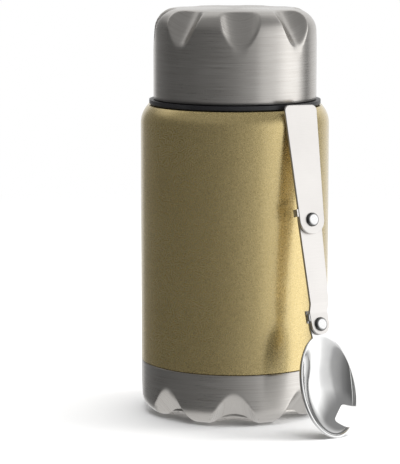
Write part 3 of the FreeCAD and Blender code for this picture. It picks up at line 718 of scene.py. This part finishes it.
def bowlColumn(turn):
    # One line of points from the middle of the inside, over the rim, to the
    # middle of the back.
    wall, depth = spork["wall"], spork["depth"]
    inner = ellipseReach(turn, spork["halfWidth"] - wall, spork["rear"] - wall,
                         spork["front"] - wall)
    outer = ellipseReach(turn, spork["halfWidth"], spork["rear"], spork["front"])
    edge = outer
    if math.sin(turn) > 0.0:
        edge = softMax(outer, shankReach(turn), spork["neckBlend"])
    neck = easeIn(edge - outer, 0.2 * mm, 3.0 * mm)
    plate = spork["plate"] * neck
    soft = spork["edge"]
    rings, spare = spork["rings"], spork["ledgeRings"]
    points = []

    def add(reach, back):
        x, z = reach * math.cos(turn), reach * math.sin(turn) - spork["middle"]
        pitch = math.tan(math.radians(spork["bowlPitch"]))
        tilt = -z * pitch * easeIn(z, -13.0 * mm, -6.0 * mm)
        points.append(Vector((x, back + tilt, z)))

    fromShank = math.remainder(turn - math.pi / 2.0, 2.0 * math.pi)
    heel = math.exp(-(fromShank / spork["heelTurn"]) ** 2)

    def swell(reach):
        share = min(1.0, reach / outer)
        return plate + (depth - plate) * math.sqrt(max(0.0, 1.0 - share * share))

    def hollow(share):
        full = max(0.0, 1.0 - share * share)
        return full ** (0.5 + spork["heelSoft"] * heel)

    for i in range(rings + 1):
        share = math.sin(math.pi / 2.0 * i / rings)
        add(inner * share, (depth - wall) * hollow(share))
    for i in range(1, spare):
        add(inner + (edge - soft - inner) * i / spare, 0.0)
    add(edge - soft, 0.0)
    add(edge - soft * 0.3, soft * 0.3)
    add(edge, soft)
    if neck > 0.0:
        add(edge, max(soft * 1.01, plate - soft))
    else:
        add(edge, soft * 1.3)
    start = edge - soft * 0.3
    last = min(outer * 0.995, start)
    for i in range(spare):
        reach = start + (last - start) * i / spare
        add(reach, swell(reach))
    for i in range(rings + 1):
        reach = last * math.cos(math.pi / 2.0 * i / rings)
        add(reach, swell(reach))
    return points


def bowlForm():
    form = bmesh.new()
    neckHalf = math.radians(spork["neckTurn"])
    close, wide = spork["neckColumns"], spork["bowlColumns"]
    turns = [math.pi / 2.0 - neckHalf + 2.0 * neckHalf * i / close for i in range(close)]
    rest = 2.0 * math.pi - 2.0 * neckHalf
    turns += [math.pi / 2.0 + neckHalf + rest * i / wide for i in range(wide)]
    columns = []
    for turn in turns:
        line = bowlColumn(math.fmod(turn, 2.0 * math.pi))
        columns.append([form.verts.new(point) for point in line])
    for i, column in enumerate(columns):
        after = columns[(i + 1) % len(columns)]
        for a, b, c, e in zip(column, after, after[1:], column[1:]):
            form.faces.new((a, b, c, e))
    bmesh.ops.remove_doubles(form, verts=form.verts[:], dist=2e-6)
    bmesh.ops.recalc_face_normals(form, faces=form.faces[:])
    return form


def boxForm(low, high):
    form = bmesh.new()
    bmesh.ops.create_cube(form, size=1.0)
    for vert in form.verts:
        vert.co = Vector([a + (b - a) * (c + 0.5) for a, b, c in zip(low, high, vert.co)])
    return form


def notchForm():
    form = bmesh.new()
    turn = math.radians(spork["notchTurn"])
    out = Vector((math.sin(turn), 0.0, -math.cos(turn)))
    aside = Vector((math.cos(turn), 0.0, math.sin(turn)))
    start = Vector((spork["notchX"], 0.0, -spork["notchDown"]))
    corner, length = spork["notchCorner"], spork["notchLength"]
    base, mouth = spork["notchBase"] / 2.0, spork["notchMouth"] / 2.0
    mouthEnd = mouth * length / (9.0 * mm) * 0.93
    flat = []
    for side in (-1.0, 1.0):
        steps = ((base - corner * 1.1, 0.0), (base - corner * 0.3, corner * 0.35),
                 (base + corner * 0.12, corner * 1.1), (mouthEnd, length))
        ends = [start + aside * side * across + out * down for across, down in steps]
        flat += ends if side < 0 else ends[::-1]
    for depth in (-20.0 * mm, 20.0 * mm):
        for point in flat:
            form.verts.new(point + Vector((0.0, depth, 0.0)))
    form.verts.ensure_lookup_table()
    count = len(flat)
    form.faces.new([form.verts[i] for i in range(count)])
    form.faces.new([form.verts[count + i] for i in reversed(range(count))])
    for i in range(count):
        after = (i + 1) % count
        form.faces.new([form.verts[k] for k in (i, after, count + after, count + i)])
    bmesh.ops.recalc_face_normals(form, faces=form.faces[:])
    return form


def makeBowl():
    mesh = smoothMesh(bowlForm(), "sporkBowl")
    piece = bpy.data.objects.new("sporkBowl", mesh)
    scene.collection.objects.link(piece)
    cutter = bpy.data.objects.new("notchTool", smoothMesh(notchForm(), "notchTool"))
    scene.collection.objects.link(cutter)
    notch = piece.modifiers.new("notch", "BOOLEAN")
    notch.object = cutter
    notch.operation = "DIFFERENCE"
    notch.solver = "EXACT"
    applied(piece)
    bpy.data.objects.remove(cutter)
    form = bmesh.new()
    form.from_mesh(piece.data)
    bmesh.ops.transform(form, matrix=bowlPlace, verts=form.verts[:])
    for low, high in spork["stop"]:
        block = boxForm([v * mm for v in low], [v * mm for v in high])
        bmesh.ops.bevel(block, geom=block.edges[:], offset=spork["stopEdge"], segments=2,
                        affect="EDGES", profile=0.5)
        bmesh.ops.transform(block, matrix=sporkPlace, verts=block.verts[:])
        part = bpy.data.meshes.new("stop")
        block.to_mesh(part)
        block.free()
        form.from_mesh(part)
        bpy.data.meshes.remove(part)
    piece.data = smoothMesh(form, "sporkBowl", 38.0)
    piece.data.materials.append(looks["polished_steel"])
    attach(piece, "bowl")
    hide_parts("spork_bowl")


makeBowl()
print("stage: spork bowl")


# threads: three starts each, a round ridge that runs out at both ends

threads = {
    "lead": 12.0 * mm,
    "starts": 3,
    "fade": 0.08,  # share of each start over which it runs out
    "steps": 160,
    "sides": 16,
    "thinnest": 0.05,  # share of the ridge's radius that is left at its ends
}
threadPieces = [
    # name, radius of the ridge's middle, ridge radius, height of the low end,
    # turns, first angle in degrees, slot, body
    ("collarThread", 33.1 * mm, 0.9 * mm, 145.6 * mm, 0.62, 0.0, "black_plastic", "jar"),
    ("linerThread", 34.95 * mm, 0.8 * mm, 145.6 * mm, 0.55, 60.0, "liner_plastic", "lid"),
    ("stopperThread", 28.25 * mm, 0.3 * mm, 150.0 * mm, 0.5, 0.0, "liner_plastic", "stopper"),
    ("mouthThread", 28.9 * mm, 0.22 * mm, 150.0 * mm, 0.5, 60.0, "vessel_steel", "jar"),
]


def threadTree(material):
    tree = bpy.data.node_groups.new("threadRidges", "GeometryNodeTree")
    face = tree.interface
    for name in ("Radius", "Ridge", "Low", "Turns", "Lead", "Angle", "Fade"):
        face.new_socket(name, in_out="INPUT", socket_type="NodeSocketFloat")
    for name in ("Starts", "Steps"):
        face.new_socket(name, in_out="INPUT", socket_type="NodeSocketInt")
    face.new_socket("Geometry", in_out="OUTPUT", socket_type="NodeSocketGeometry")

    def node(kind, inputs=None, **settings):
        made = tree.nodes.new(kind)
        for key, value in settings.items():
            setattr(made, key, value)
        for key, value in (inputs or {}).items():
            if isinstance(value, bpy.types.NodeSocket):
                tree.links.new(value, made.inputs[key])
            else:
                made.inputs[key].default_value = value
        return made

    def calc(operation, first, second=0.0):
        return node("ShaderNodeMath", {0: first, 1: second}, operation=operation).outputs[0]

    given = node("NodeGroupInput").outputs
    line = node("GeometryNodeCurvePrimitiveLine", {
        "Start": (0.0, 0.0, 0.0), "End": (0.0, 0.0, 1.0)}).outputs[0]
    line = node("GeometryNodeResampleCurve", {"Curve": line, "Count": given["Steps"]}).outputs[0]
    share = node("GeometryNodeSplineParameter").outputs["Factor"]
    turn = calc("MULTIPLY", calc("MULTIPLY", share, given["Turns"]), 2.0 * math.pi)
    rise = calc("MULTIPLY", calc("MULTIPLY", share, given["Turns"]), given["Lead"])
    up = calc("ADD", given["Low"], rise)
    spot = node("ShaderNodeCombineXYZ", {
        0: calc("MULTIPLY", given["Radius"], calc("COSINE", turn)),
        1: calc("MULTIPLY", given["Radius"], calc("SINE", turn)), 2: up}).outputs[0]
    helix = node("GeometryNodeSetPosition", {"Geometry": line, "Position": spot}).outputs[0]
    fromEnd = calc("MINIMUM", share, calc("SUBTRACT", 1.0, share))
    swell = node("ShaderNodeMapRange", {
        "Value": fromEnd, "From Min": 0.0, "From Max": given["Fade"],
        "To Min": threads["thinnest"], "To Max": 1.0},
        interpolation_type="SMOOTHSTEP").outputs[0]
    section = node("GeometryNodeCurvePrimitiveCircle", {
        "Resolution": threads["sides"], "Radius": given["Ridge"]}).outputs[0]
    ridge = node("GeometryNodeCurveToMesh", {
        "Curve": helix, "Profile Curve": section, "Scale": swell, "Fill Caps": True})
    points = node("GeometryNodePoints", {"Count": given["Starts"]}).outputs[0]
    index = node("GeometryNodeInputIndex").outputs[0]
    apart = calc("DIVIDE", 2.0 * math.pi, given["Starts"])
    around = calc("ADD", calc("MULTIPLY", index, apart), given["Angle"])
    spin = node("ShaderNodeCombineXYZ", {2: around}).outputs[0]
    copies = node("GeometryNodeInstanceOnPoints", {
        "Points": points, "Instance": ridge.outputs[0], "Rotation": spin}).outputs[0]
    whole = node("GeometryNodeRealizeInstances", {"Geometry": copies}).outputs[0]
    painted = node("GeometryNodeSetMaterial", {"Geometry": whole, "Material": material}).outputs[0]
    tree.links.new(painted, node("NodeGroupOutput").inputs[0])
    return tree


def makeThread(name, radius, ridge, low, turns, angle, slotName, body):
    piece = bpy.data.objects.new(name, bpy.data.meshes.new(name))
    scene.collection.objects.link(piece)
    tree = threadTree(looks[slotName])
    ridges = piece.modifiers.new("ridges", "NODES")
    ridges.node_group = tree
    values = {"Radius": radius, "Ridge": ridge, "Low": low, "Turns": turns, "Lead": threads["lead"],
              "Angle": math.radians(angle), "Fade": threads["fade"], "Starts": threads["starts"],
              "Steps": threads["steps"]}
    for socket in tree.interface.items_tree:
        if socket.in_out == "INPUT":
            ridges[socket.identifier] = values[socket.name]
    applied(piece)
    form = bmesh.new()
    form.from_mesh(piece.data)
    bmesh.ops.recalc_face_normals(form, faces=form.faces[:])
    piece.data = smoothMesh(form, name, 50.0)
    piece.data.materials.clear()
    piece.data.materials.append(looks[slotName])
    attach(piece, body)


for entry in threadPieces:
    makeThread(*entry)
print("stage: threads")


# light

surround = {
    # azimuth from the camera's side, in degrees to the right, and brightness
    "stops": [(-180, 0.95), (-158, 0.80), (-146, 0.24), (-132, 0.18), (-104, 0.11), (-60, 0.12),
              (-25, 0.16), (0, 0.25), (12, 0.36), (30, 0.48), (38, 0.82), (60, 1.05), (78, 1.65),
              (100, 1.60), (110, 0.75), (121, 0.20), (136, 0.75), (160, 0.95), (180, 0.95)],
    "overhead": 0.30,
    "overheadBehind": 0.9,
    "below": 0.80,
    "fadeUp": (0.30, 0.65),  # upward part of the direction where bands end
    "fadeDown": (-0.75, -0.45),
}
floorLook = {
    "colour": 0.82,
    "halfSize": 8.0,
    "near": 0.30,  # metres from the jar where the floor starts to turn plain white
    "far": 0.75,
}
lamps = [
    # name, place, aim, size in metres, watts
    ("keyRight", (1.3, 0.1, 0.9), (0.0, 0.0, 0.05), 0.7, 14.0),
    ("topSoft", (0.1, 0.2, 1.8), (0.0, 0.0, 0.0), 1.8, 42.0),
]


def azimuthBands(s, x, y):
    angle = s.math("ARCTAN2", x, s.math("MULTIPLY", y, -1.0))
    ramp = s.add("ShaderNodeValToRGB", {"Fac": s.span(angle, -math.pi, math.pi)})
    bands = ramp.color_ramp
    peak = max(level for turn, level in surround["stops"])
    while len(bands.elements) < len(surround["stops"]):
        bands.elements.new(0.5)
    for element, (turn, level) in zip(bands.elements, surround["stops"]):
        element.position = (turn + 180.0) / 360.0
        element.color = grey(level / peak)
    return s.add("ShaderNodeVectorMath", {0: ramp.outputs[0], "Scale": peak},
                 operation="SCALE").outputs[0]


def makeWorld():
    s = Shader("surround", world=True)
    x, y, z = s.split(s.add("ShaderNodeTexCoord").outputs["Generated"])[:3]
    side = azimuthBands(s, x, y)
    behind = s.span(y, 0.0, 0.5, smooth=True)
    top = s.blend(behind, grey(surround["overhead"]), grey(surround["overheadBehind"]))
    glow = s.blend(s.span(z, *surround["fadeUp"], smooth=True), side, top)
    glow = s.blend(s.span(z, *surround["fadeDown"], 1.0, 0.0, smooth=True),
                   glow, grey(surround["below"]))
    seen = s.add("ShaderNodeLightPath").outputs["Is Camera Ray"]
    shown = s.blend(seen, glow, grey(1.0))
    sky = s.add("ShaderNodeBackground", {"Color": shown, "Strength": 1.0})
    s.add("ShaderNodeOutputWorld", {"Surface": sky})
    scene.world = s.owner


def makeFloor():
    form = bmesh.new()
    bmesh.ops.create_grid(form, x_segments=1, y_segments=1, size=floorLook["halfSize"])
    mesh = bpy.data.meshes.new("floor")
    form.to_mesh(mesh)
    form.free()
    floor = bpy.data.objects.new("floor", mesh)
    scene.collection.objects.link(floor)
    floor.visible_glossy = False
    s = Shader("floorWhite")
    away = s.add("ShaderNodeVectorMath", {0: s.place()}, operation="LENGTH").outputs["Value"]
    matte = s.add("ShaderNodeBsdfDiffuse", {"Color": grey(floorLook["colour"])})
    plain = s.add("ShaderNodeEmission", {"Color": grey(1.0), "Strength": 1.0})
    both = s.add("ShaderNodeMixShader", {
        0: s.span(away, floorLook["near"], floorLook["far"], smooth=True), 1: matte, 2: plain})
    s.add("ShaderNodeOutputMaterial", {"Surface": both})
    mesh.materials.append(s.owner)


def areaLight(name, place, aim, size, power):
    lamp = bpy.data.lights.new(name, "AREA")
    lamp.energy = power
    lamp.size = size
    light = bpy.data.objects.new(name, lamp)
    light.location = place
    light.rotation_euler = (Vector(aim) - Vector(place)).to_track_quat("-Z", "Y").to_euler()
    light.visible_glossy = False
    scene.collection.objects.link(light)


makeWorld()
makeFloor()
for entry in lamps:
    areaLight(*entry)
print("stage: light")
